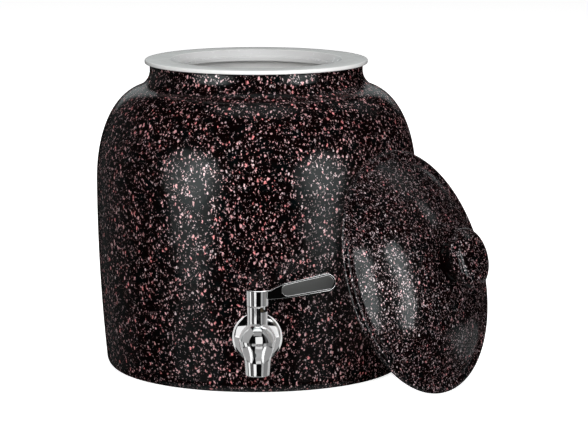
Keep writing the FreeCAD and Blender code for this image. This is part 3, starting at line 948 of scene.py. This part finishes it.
def armPath(shape):
    # the blade with its root, from the hub's top round the tip and back under
    heel, tip = leverCentres(shape)
    slope = math.degrees(math.atan2(tip.y - heel.y, tip.x - heel.x))
    spread = math.degrees(math.acos((shape["heelRound"] - shape["tipRound"]) / (tip - heel).length))
    top = bodyHigh.z + shape["hubGap"] + shape["hubHeight"]
    low = top - shape["rootDrop"]
    inHub = shape["hubBottom"] - shape["rootSink"]
    rootTop = top - shape["rootTopDrop"]
    above = polar(heel, shape["heelRound"], slope + spread + shape["turnAbove"])
    below = polar(heel, shape["heelRound"], slope - spread - shape["turnBelow"])
    corners = [
        (inHub, rootTop, 0),
        (shape["rootReach"] - shape["rootTopBack"], top - shape["rootTopFall"], shape["rootRound"]),
        (*above, shape["bladeRound"]),
        (*polar(tip, shape["tipRound"], slope + spread), 0),
    ]
    corners += [(*point, 0) for point in arcPoints(tip, shape["tipRound"], slope + spread,
                                                   slope - spread, 24)[1:]]
    corners += [
        (*polar(heel, shape["heelRound"], slope - spread), shape["bladeRound"]),
        (*below, shape["rootRound"]),
        (shape["rootReach"], low, shape["rootRound"]),
        (inHub, low, 0),
        (inHub, rootTop, 0),
    ]
    return softened(corners, 8)


def makeLever(shape):
    base = bodyHigh.z + shape["hubGap"]
    top = base + shape["hubHeight"]
    thick = shape["thickness"]
    past = shape["overshoot"]
    deep = shape["cutterDepth"]
    hubCorners = [
        (0, base, 0),
        (shape["hubBottom"], base, shape["hubFootEdge"]),
        (shape["hubTop"], top, shape["hubEdge"]),
        (0, top, 0),
    ]
    lever = moveTo(spunPiece("tapLever", softened(hubCorners, 6), 128), onColumn)
    front = Matrix.Translation((0, columnY - thick / 2, 0))
    arm = moveTo(slabPiece("leverArm", armPath(shape)[:-1], thick), front)
    slot = moveTo(slabPiece("slotCutter", slotPath(shape, shape["slotInset"])[:-1], deep),
                  front @ Matrix.Translation((0, shape["slotDepth"] - deep, 0)))
    combine(arm, slot, "DIFFERENCE")
    applied(arm, "BEVEL", width=shape["edge"], segments=3, limit_method="ANGLE",
            angle_limit=math.radians(50), use_clamp_overlap=True)
    combine(lever, arm, "UNION")
    lugLow = bodyHigh.z - tapShape["stopDepth"] + shape["lugClearance"]
    lugIn = shape["lugInner"]
    lugOut = tapShape["column"]
    lugHigh = base + past
    lugPath = [(lugIn, lugLow), (lugOut, lugLow), (lugOut, lugHigh), (lugIn, lugHigh), (lugIn, lugLow)]
    lug = moveTo(spunPiece("stopLug", lugPath, 24, shape["lugSweep"]),
                 onColumn @ Matrix.Rotation(math.radians(shape["lugStart"]), 4, "Z"))
    combine(lever, lug, "UNION")
    combine(lever, tapRod(shape["socket"], base - past, base + shape["grip"], onColumn, 48), "DIFFERENCE")
    screwWay = Matrix.Translation((0, columnY, base + shape["screwHeight"])) @ Matrix.Rotation(
        math.radians(-90), 4, "X")
    screw = tapRod(shape["screwHole"], shape["screwFrom"], shape["screwTo"], screwWay, 48)
    combine(lever, screw, "DIFFERENCE")
    lever.name = "tapLever"
    smooth(lever, 30)
    applied(lever, "WEIGHTED_NORMAL", keep_sharp=True)
    dress(lever, chrome)
    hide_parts("tap_lever")
    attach(lever, "lever")
    return lever


def makeInsert(shape):
    gap = shape["insertGap"]
    insert = slabPiece("leverInsert", slotPath(shape, shape["slotInset"] + gap, 24)[:-1],
                       shape["slotDepth"] - gap)
    moveTo(insert, Matrix.Translation((0, columnY - shape["thickness"] / 2 + gap, 0)))
    applied(insert, "BEVEL", width=shape["insertEdge"], segments=3, limit_method="ANGLE",
            angle_limit=math.radians(50))
    smooth(insert, 40)
    dress(insert, insertPlastic)
    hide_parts("lever_insert")
    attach(insert, "lever")
    return insert


lever = makeLever(leverShape)
insert = makeInsert(leverShape)
print("stage: lever", len(lever.data.polygons), "faces")


keptFinish = {
    "outer_seal_washer": milkySilicone,
    "inner_seal_washer": milkySilicone,
    "clamp_washer": turnedSteel,
    "lock_nut": turnedSteel,
    "grub_screw": turnedSteel,
    "seat_seal": milkySilicone,
    "fixed_disc": discCeramic,
    "moving_disc": discCeramic,
    "cartridge_body": turnedBrass,
    "cartridge_o_ring": blackRubber,
    "spindle_o_rings": blackRubber,
    "gland_nut": turnedBrass,
    "spindle": turnedBrass,
    "glide_washer": acetal,
}
for nodeName, finish in keptFinish.items():
    nodes[nodeName].data.materials.clear()
    nodes[nodeName].data.materials.append(finish)
print("stage: inner parts finished")


stageLook = {
    "floorSize": 14.0,
    "floorWhite": (0.9, 0.9, 0.9, 1),
    "floorGlow": 0.86,
    "roomGlow": 0.07,
    "roomDark": 0.002,
    "roomTint": (0.9, 1.0, 1.0, 1),
    "crockMiddleHeight": 0.13,
    "lightDistance": 2.4,
}
studioCards = {   # azimuth and elevation in degrees from the front, half sizes, soft edge, brightness
    "backRight": (132, 42, 14, 12, 8, 0.2),
    "backLeft": (-130, 0, 25, 24, 12, 0.06),
    "backPanelLeft": (-170, 17, 11, 12, 4, 0.5),
    "backPanelRight": (170, 17, 11, 12, 4, 0.4),
    "ceiling": (0, 84, 180, 12, 5, 0.6),
    "underCard": (0, -72, 180, 18, 8, 0.25),
}
crockPanels = {   # the same without the soft edge; each set is seen by its own piece only
    "leftWindowWide": (-46, 4, 22, 19, 1.15),
    "leftWindow": (-45, 5, 16, 14, 1.15),
    "leftWindowCore": (-42, 6, 9, 10, 1.3),
    "leftVeil": (-46, -24, 17, 9, 0.25),
    "rightWindowWide": (46, 4, 20, 18, 1.0),
    "rightWindow": (47, 4, 14, 15, 1.05),
    "rightWindowCore": (45, 6, 9, 10, 1.0),
    "rightVeil": (44, -24, 13, 9, 0.15),
    "lowGlowLeft": (-38, -22, 36, 9, 0.03),
    "lowGlowRight": (38, -22, 36, 9, 0.03),
}
lidPanels = {
    "bandOne": (42, 12, 4.2, 24, 4.8),
    "bandTwo": (68, 11, 4.6, 22, 4.6),
    "rimEdge": (-84, 4, 12, 44, 3.6),
}
lidPatches = {
    "top": (128, 44, 8, 6, 0.15),
    "middle": (119, 28, 5, 6, 0.6),
    "low": (128, -18, 24, 5, 0.14),
    "lowCore": (120, -18, 12, 3.5, 0.2),
}
coverPanels = {
    "left": (-48, 6, 20, 15, 1.05),
    "right": (48, 6, 19, 15, 0.95),
    "rimLeft": (-118, 8, 40, 45, 0.85),
    "rimRight": (118, 8, 40, 45, 0.85),
    "behind": (180, 25, 50, 30, 0.85),
    "low": (0, -44, 75, 33, 0.4),
    "lowStreak": (-24, -40, 5, 18, 0.9),
}
columnPanels = {
    "edgeLeft": (-128, -17, 26, 9, 0.5),
    "columnLeft": (-80, -17, 10, 9, 1.1),
    "columnShade": (-53, -17, 7, 9, 0.14),
    "columnMiddle": (-24, -10.8, 12, 1.3, 1.1),
    "columnMiddleLow": (-24, -20.5, 12, 1.8, 1.1),
    "columnRight": (48, -17, 10, 9, 0.45),
    "columnFarRight": (86, -17, 24, 9, 0.22),
    "edgeRight": (136, -17, 26, 9, 0.5),
}
leverPanels = dict(columnPanels, **{
    "overhead": (0, 62, 30, 26, 2.2),
    "overheadBack": (180, 66, 40, 18, 1.6),
    "underfoot": (0, -62, 50, 24, 1.7),
    "farSideHigh": (84, 36, 36, 30, 1.8),
    "farSideLow": (84, -56, 36, 26, 1.6),
})
bodyPanels = dict(columnPanels, **{
    "overhead": (0, 80, 24, 8, 0.9),
    "overheadGrey": (0, 54, 24, 13, 0.33),
    "sideLeft": (-84, 28, 32, 36, 0.4),
    "sideDark": (58, 28, 7, 36, 0.08),
    "sideRight": (97, 28, 30, 36, 0.3),
    "behindLeft": (-150, 20, 32, 30, 0.45),
    "behindRight": (150, 20, 32, 30, 0.4),
    "frontPatch": (10, 13, 22, 22, 1.0),
    "frontPatchThin": (10, -15.6, 21, 1.9, 0.9),
    "frontPatchLow": (10, -32, 21, 7, 0.8),
    "frontPatchGrey": (10, -46, 21, 7, 0.4),
    "lowLeft": (-98, -46, 40, 18, 0.36),
    "lowRight": (98, -46, 40, 18, 0.33),
    "streakLeft": (-60, -40, 8, 13, 0.95),
    "streakRight": (52, -40, 8, 13, 0.95),
})
softboxes = {   # azimuth and elevation in degrees, size in metres, watts
    "frontLight": (-12, 15, 1.4, 54),
    "sideLight": (50, 6, 1.2, 31),
    "topLight": (0, 80, 1.4, 14),
    "backLight": (165, 45, 1.4, 16),
}


def makeFloor(look):
    # white to look at; the pieces look through it at the room
    deselectAll()
    bpy.ops.mesh.primitive_plane_add(size=look["floorSize"], location=(0, 0, 0))
    floor = bpy.context.object
    floor.name = "paleFloor"
    material = bpy.data.materials.new("paleFloorPaint")
    material.use_nodes = True
    tree = material.node_tree
    paint = tree.nodes["Principled BSDF"]
    paint.inputs["Base Color"].default_value = look["floorWhite"]
    paint.inputs["Roughness"].default_value = 1.0
    paint.inputs["Specular IOR Level"].default_value = 0.0
    paint.inputs["Emission Color"].default_value = (1, 1, 1, 1)
    paint.inputs["Emission Strength"].default_value = look["floorGlow"]
    ray = addNode(tree, "ShaderNodeLightPath")
    clear = addNode(tree, "ShaderNodeBsdfTransparent")
    mix = addNode(tree, "ShaderNodeMixShader", {0: ray.outputs["Is Camera Ray"], 1: clear.outputs[0],
                                                2: paint.outputs[0]})
    tree.links.new(mix.outputs[0], tree.nodes["Material Output"].inputs["Surface"])
    floor.data.materials.append(material)


def makeRoom(look, cards):
    world = bpy.data.worlds.new("studioRoom")
    bpy.context.scene.world = world
    world.use_nodes = True
    tree = world.node_tree
    back = tree.nodes["Background"]
    way = addNode(tree, "ShaderNodeTexCoord").outputs["Generated"]
    axes = addNode(tree, "ShaderNodeSeparateXYZ", {"Vector": way}).outputs
    azimuth = sums(tree, "ARCTAN2", axes[0], sums(tree, "MULTIPLY", axes[1], -1.0))
    elevation = sums(tree, "ARCSINE", axes[2])
    seen = look["roomDark"]
    for around, above, halfWidth, halfHeight, soft, bright in cards.values():
        shares = []
        for angle, middle, half in ((azimuth, around, halfWidth), (elevation, above, halfHeight)):
            away = sums(tree, "ABSOLUTE", sums(tree, "SUBTRACT", angle, math.radians(middle)))
            fall = addNode(tree, "ShaderNodeMapRange", {
                "Value": away, "From Min": math.radians(half - soft), "From Max": math.radians(half + soft),
                "To Min": 1.0, "To Max": 0.0}, interpolation_type="SMOOTHSTEP")
            shares.append(fall.outputs[0])
        card = sums(tree, "MULTIPLY", sums(tree, "MULTIPLY", *shares), bright)
        seen = sums(tree, "ADD", card, seen)
    ray = addNode(tree, "ShaderNodeLightPath").outputs
    glow = addNode(tree, "ShaderNodeMix", {0: ray["Is Glossy Ray"], 2: look["roomGlow"], 3: seen},
                   data_type="FLOAT").outputs[0]
    full = addNode(tree, "ShaderNodeMix", {0: ray["Is Camera Ray"], 2: glow, 3: 1.0},
                   data_type="FLOAT").outputs[0]
    tree.links.new(full, back.inputs["Strength"])
    tint = addNode(tree, "ShaderNodeMix", {0: ray["Is Glossy Ray"], 6: (1, 1, 1, 1), 7: look["roomTint"]},
                   data_type="RGBA").outputs[2]
    tree.links.new(tint, back.inputs["Color"])
    world.cycles.sampling_method = "NONE"


def softbox(name, aim, distance, azimuth, elevation, size, power):
    # lights the colours only: the reflections come from the cards and the panels
    around = math.radians(azimuth)
    above = math.radians(elevation)
    away = Vector((math.sin(around) * math.cos(above), -math.cos(around) * math.cos(above), math.sin(above)))
    light = bpy.data.lights.new(name, "AREA")
    light.shape = "DISK"
    light.size = size
    light.energy = power
    box = bpy.data.objects.new(name, light)
    bpy.context.scene.collection.objects.link(box)
    box.location = aim + away * distance
    box.rotation_euler = away.to_track_quat("Z", "Y").to_euler()
    box.visible_glossy = False
    return box


def makePanels(name, panels, aim, piece, tint=(1, 1, 1), outline="RECTANGLE", hiders=(), distance=2.0):
    # only this piece mirrors the panels, and nothing but the hiders hides them from it
    seenBy = bpy.data.collections.new(name)
    seenBy.objects.link(piece)
    hiddenBy = bpy.data.collections.new(name + "Hiders")
    for hider in (piece, *hiders):
        hiddenBy.objects.link(hider)
    for title, (around, above, halfWidth, halfHeight, bright) in panels.items():
        wide, tall = (2 * distance * math.tan(math.radians(half)) for half in (halfWidth, halfHeight))
        area = wide * tall * (math.pi / 4 if outline == "ELLIPSE" else 1)
        panel = softbox(name + title, aim, distance, around, above, wide, math.pi * area * bright)
        panel.data.shape = outline
        panel.data.color = tint
        panel.data.size_y = tall
        panel.visible_glossy = True
        panel.visible_camera = False
        panel.visible_diffuse = False
        panel.light_linking.receiver_collection = seenBy
        panel.light_linking.blocker_collection = hiddenBy


makeFloor(stageLook)
makeRoom(stageLook, studioCards)
crockMiddle = Vector((0, 0, stageLook["crockMiddleHeight"]))
for lightName, (around, above, size, power) in softboxes.items():
    softbox(lightName, crockMiddle, stageLook["lightDistance"], around, above, size, power)
tapMiddle = Vector((0, columnY, shankZ))
lidMiddle = Vector(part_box("lid")[0]).lerp(Vector(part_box("lid")[1]), 0.5)
coolTint = stageLook["roomTint"][:3]
makePanels("crockPanels", crockPanels, crockMiddle, crock, coolTint, "ELLIPSE")
makePanels("lidPanels", lidPanels, lidMiddle, lid, coolTint)
makePanels("lidPatches", lidPatches, lidMiddle, lid, coolTint, "ELLIPSE")
makePanels("coverPanels", coverPanels, tapMiddle, escutcheon)
makePanels("bodyPanels", bodyPanels, tapMiddle, tapBody, hiders=(lever,))
makePanels("leverPanels", leverPanels, tapMiddle, lever)
print("stage: floor and lights")

cameraView = {
    "place": (-0.0094, -2.7002, 0.5543),
    "pitchDegrees": 9.08,
    "turnDegrees": -0.87,
    "focalPixels": 3242.3,
    "imageWidth": 588,
    "sensor": 36.0,
}


def makeCamera(view):
    data = bpy.data.cameras.new("frontCamera")
    data.sensor_fit = "HORIZONTAL"
    data.sensor_width = view["sensor"]
    data.lens = view["focalPixels"] / view["imageWidth"] * view["sensor"]
    data.clip_end = 50
    camera = bpy.data.objects.new("frontCamera", data)
    bpy.context.scene.collection.objects.link(camera)
    camera.location = view["place"]
    camera.rotation_euler = (math.radians(90 - view["pitchDegrees"]), 0, math.radians(view["turnDegrees"]))
    bpy.context.scene.camera = camera


makeCamera(cameraView)
bpy.context.scene.view_settings.view_transform = "Standard"
print("stage: camera and sizes")
